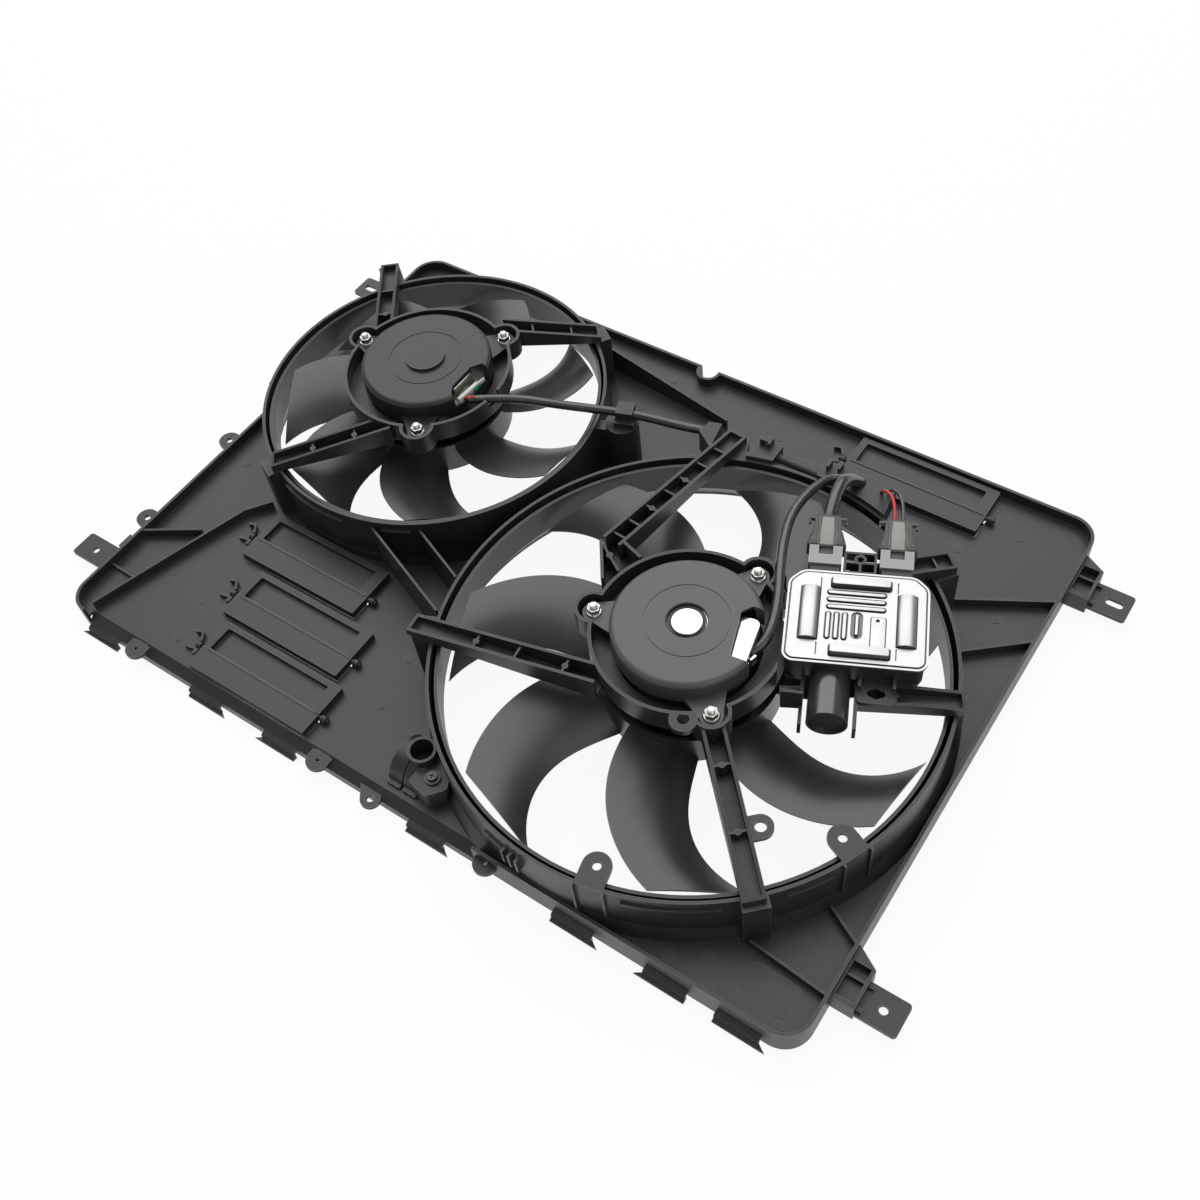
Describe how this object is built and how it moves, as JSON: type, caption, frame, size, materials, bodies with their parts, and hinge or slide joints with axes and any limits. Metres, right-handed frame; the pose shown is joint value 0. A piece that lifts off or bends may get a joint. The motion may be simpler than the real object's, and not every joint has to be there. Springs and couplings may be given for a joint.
{
  "type": "radiator cooling fan",
  "caption": "Radiator cooling fan module: moulded shroud with a large and a small electric fan, a control module, leads and pressure-relief flaps",
  "frame": {"origin": "centre of the footprint, at the radiator side of the tray", "axes": "X runs along the tray from the small fan to the large fan, Y from the clipped edge to the opposite edge, Z from the radiator side towards the motors"},
  "size_m": [0.784, 0.5016, 0.109],
  "materials": {
    "black_plastic": "glass-filled moulded nylon, fine texture",
    "fan_plastic": "moulded nylon, satin",
    "black_gloss": "smooth moulded",
    "grey_plastic": "smooth moulded",
    "card_plastic": "smooth moulded",
    "red_plastic": "wire insulation",
    "black_rubber": "extruded sleeve",
    "black_paint": "satin black on pressed steel",
    "pressed_aluminium": "bright pressed sheet",
    "bright_steel": "zinc plated",
    "plated_cup": "bright plated",
    "magnet": "sintered ferrite",
    "copper_core": "copper windings on a steel core",
    "brass": "machined",
    "circuit_board": "coated board"
  },
  "bodies": {
    "shroud": {"shroud_panel": "black_plastic", "large_fan_ring": "black_plastic", "small_fan_ring": "black_plastic", "large_motor_carrier": "black_plastic", "small_motor_carrier": "black_plastic", "sensor_holder": "black_plastic", "holder_screw": "bright_steel", "cable_conduit": "black_plastic", "lead_clip": "black_plastic", "module_case": "black_plastic", "module_cover": "pressed_aluminium", "module_board": "circuit_board", "module_canister": "black_gloss", "left_socket": "grey_plastic", "right_socket": "grey_plastic", "left_plug": "black_plastic", "right_plug": "black_plastic", "small_motor_lead": "black_rubber", "large_motor_lead": "black_rubber", "plug_sleeve": "black_rubber", "red_wire": "red_plastic", "black_wire": "black_rubber", "small_motor_red_wire": "red_plastic", "large_motor_cover": "black_paint", "large_motor_can": "black_paint", "large_motor_magnets": "magnet", "large_motor_brush_card": "card_plastic", "large_motor_brushes": "brass", "large_motor_bearings": "bright_steel", "large_motor_studs": "bright_steel", "large_motor_nuts": "bright_steel", "small_motor_cover": "black_paint", "small_motor_can": "black_paint", "small_motor_magnets": "magnet", "small_motor_brush_card": "card_plastic", "small_motor_brushes": "brass", "small_motor_bearings": "bright_steel", "small_motor_studs": "bright_steel", "small_motor_nuts": "bright_steel", "large_motor_bearing_cup": "plated_cup"},
    "large_rotor": {"large_fan": "fan_plastic", "large_fan_nut": "bright_steel", "large_motor_armature": "copper_core", "large_motor_commutator": "brass", "large_motor_shaft": "bright_steel"},
    "small_rotor": {"small_fan": "fan_plastic", "small_fan_nut": "bright_steel", "small_motor_armature": "copper_core", "small_motor_commutator": "brass", "small_motor_shaft": "bright_steel"},
    "flap_1": {"relief_flap_1": "black_plastic"},
    "flap_2": {"relief_flap_2": "black_plastic"},
    "flap_3": {"relief_flap_3": "black_plastic"},
    "flap_4": {"relief_flap_4": "black_plastic"}
  },
  "joints": [
    {"name": "large_fan_spin", "type": "hinge", "parent": "shroud", "child": "large_rotor", "pos_m": [0.1429, -0.0428, 0.045], "axis": [0, 0, 1], "continuous": true},
    {"name": "small_fan_spin", "type": "hinge", "parent": "shroud", "child": "small_rotor", "pos_m": [-0.192, 0.077, 0.045], "axis": [0, 0, 1], "continuous": true},
    {"name": "flap_1_lift", "type": "hinge", "parent": "shroud", "child": "flap_1", "pos_m": [-0.189, -0.106, 0.0202], "axis": [1, 0, 0], "range_deg": [0, 45]},
    {"name": "flap_2_lift", "type": "hinge", "parent": "shroud", "child": "flap_2", "pos_m": [-0.161, -0.1593, 0.0202], "axis": [1, 0, 0], "range_deg": [0, 45]},
    {"name": "flap_3_lift", "type": "hinge", "parent": "shroud", "child": "flap_3", "pos_m": [-0.149, -0.212, 0.0202], "axis": [1, 0, 0], "range_deg": [0, 45]},
    {"name": "flap_4_lift", "type": "hinge", "parent": "shroud", "child": "flap_4", "pos_m": [0.199, 0.2177, 0.0202], "axis": [1, 0, 0], "range_deg": [0, 45]}
  ]
}
